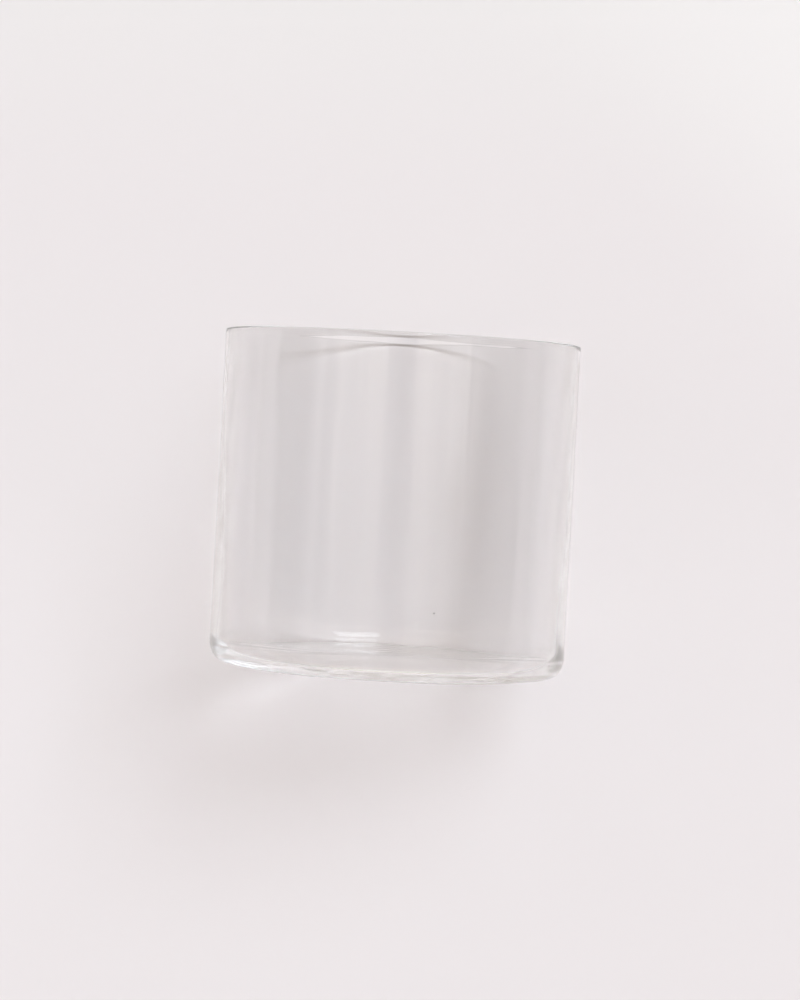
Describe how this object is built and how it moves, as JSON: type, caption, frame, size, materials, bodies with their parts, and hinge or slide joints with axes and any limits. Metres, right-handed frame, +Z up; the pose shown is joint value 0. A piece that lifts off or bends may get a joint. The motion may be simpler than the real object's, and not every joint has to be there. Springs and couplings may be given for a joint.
{
  "type": "drinking glass",
  "caption": "Low straight-sided tumbler of clear thin glass, with a rounded lip, a small round heel and a flat floor.",
  "frame": {"origin": "centre of the foot, on the surface that the glass stands on", "axes": "+Z up the glass's axis, from the foot to the lip; the glass is round, so X and Y are alike"},
  "size_m": [0.085, 0.085, 0.079],
  "materials": {
    "clear_glass": "clear, fire-polished"
  },
  "bodies": {
    "root": {"lip": "clear_glass", "wall": "clear_glass", "heel": "clear_glass", "base": "clear_glass"}
  },
  "joints": []
}
